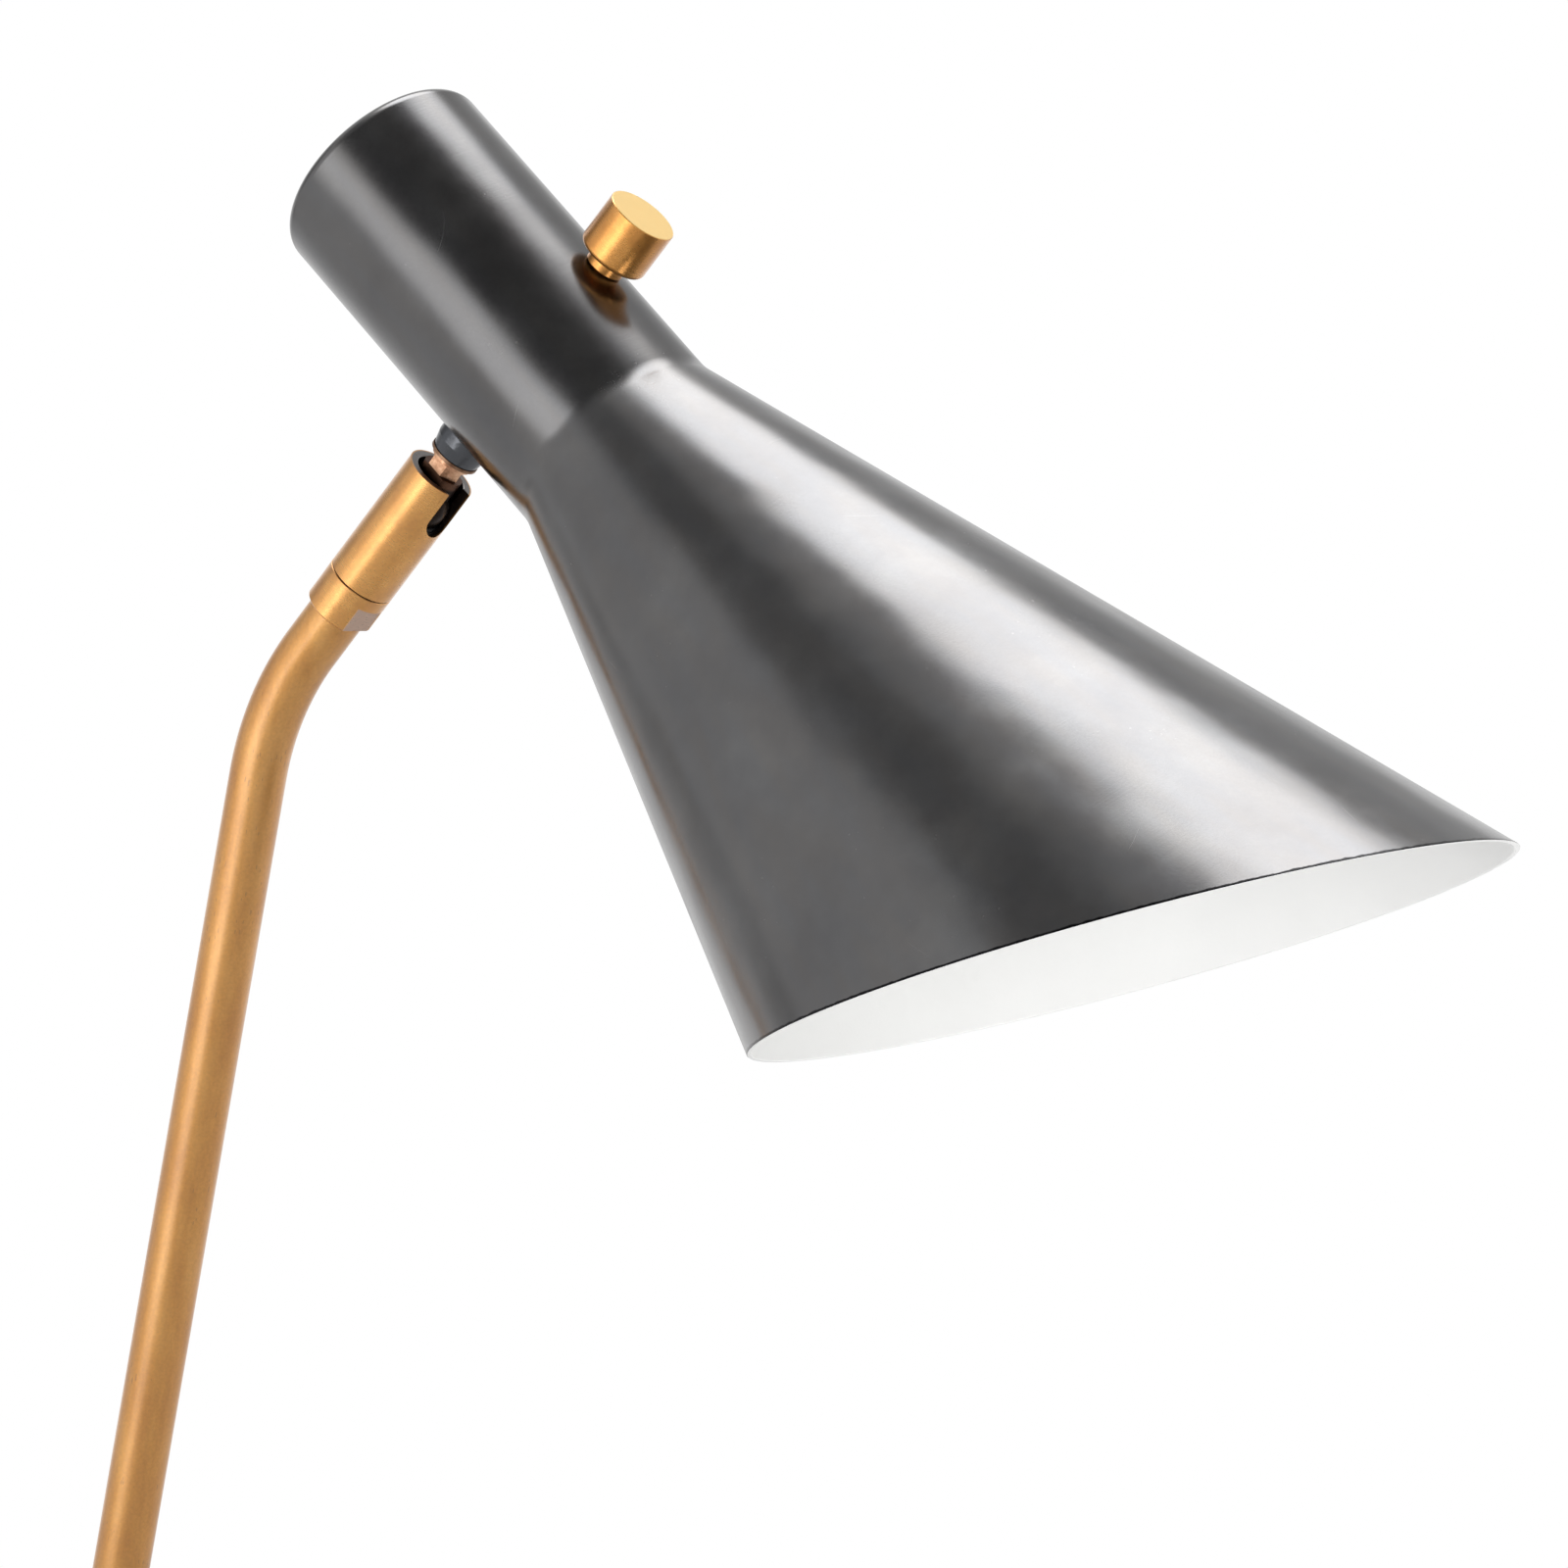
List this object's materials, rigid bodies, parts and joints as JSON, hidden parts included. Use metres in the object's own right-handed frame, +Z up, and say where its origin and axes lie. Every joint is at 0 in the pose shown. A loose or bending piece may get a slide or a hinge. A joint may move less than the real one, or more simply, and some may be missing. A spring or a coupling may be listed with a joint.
{
  "type": "architect desk lamp",
  "caption": "Desk lamp with a round weighted base, a leaning bent brass stem, a slotted ball swivel and a blackened funnel shade cut at a slant, with a turn knob on its neck.",
  "frame": {"origin": "centre of the underside of the base", "axes": "+Z up, +X the way the shade points, +Y to the lamp's left; the lamp is symmetric about the XZ plane apart from the knob's grub screw"},
  "size_m": [0.4449, 0.19, 0.5588],
  "materials": {
    "blackened_metal": "blackened metal, satin, softly blotched",
    "aged_brass": "satin aged brass, brushed lengthwise",
    "raw_brass": "as machined",
    "zinc_steel": "zinc plated",
    "cast_iron": "rough cast",
    "felt": "black felt",
    "black_nylon": "moulded black",
    "lead_sleeve": "smooth sleeve",
    "white_porcelain": "glazed white",
    "opal_glass": "opal, frosted"
  },
  "bodies": {
    "stand": {"base_pad": "felt", "base_weight": "cast_iron", "base_cover": "blackened_metal", "cord_grommet": "black_nylon", "base_washer": "zinc_steel", "lock_washer": "zinc_steel", "base_nut": "zinc_steel", "stem_nipple": "zinc_steel", "stem_collar": "aged_brass", "stem": "aged_brass", "stem_lead": "lead_sleeve", "ferrule": "aged_brass", "swivel_washer": "black_nylon", "friction_washer": "black_nylon", "spigot_nut": "raw_brass"},
    "swivel": {"barrel": "aged_brass", "barrel_plug": "raw_brass", "ball_seat": "black_nylon", "disc_springs": "zinc_steel", "seat_ring": "raw_brass", "swivel_lead": "lead_sleeve"},
    "head": {"ball_stud": "raw_brass", "stud_ring": "aged_brass", "neck_collar": "blackened_metal", "saddle_washer": "zinc_steel", "stud_nut": "zinc_steel", "head_lead": "lead_sleeve", "shade": "blackened_metal", "socket_bracket": "zinc_steel", "socket_screws": "zinc_steel", "socket_leads": "lead_sleeve", "lampholder": "white_porcelain", "socket_shell": "raw_brass", "centre_contact": "raw_brass", "bulb_contact": "zinc_steel", "bulb_insulator": "black_nylon", "bulb_cap": "zinc_steel", "bulb_globe": "opal_glass", "switch_body": "black_nylon", "switch_bush": "aged_brass", "switch_inner_nut": "zinc_steel", "switch_nut": "aged_brass"},
    "knob": {"knob": "aged_brass", "knob_spindle": "raw_brass", "knob_grub_screw": "zinc_steel"}
  },
  "joints": [
    {"name": "barrel_swivel", "type": "hinge", "parent": "stand", "child": "swivel", "pos_m": [0.07245, 0, 0.45331], "axis": [0.7071, 0, 0.7071], "range_deg": [-170, 170]},
    {"name": "head_tilt", "type": "hinge", "parent": "swivel", "child": "head", "pos_m": [0.08907, 0, 0.46993], "axis": [0, 1, 0], "range_deg": [0, 58]},
    {"name": "knob_turn", "type": "hinge", "parent": "head", "child": "knob", "pos_m": [0.14139, 0, 0.51999], "axis": [0.7071, 0, 0.7071], "continuous": true}
  ]
}
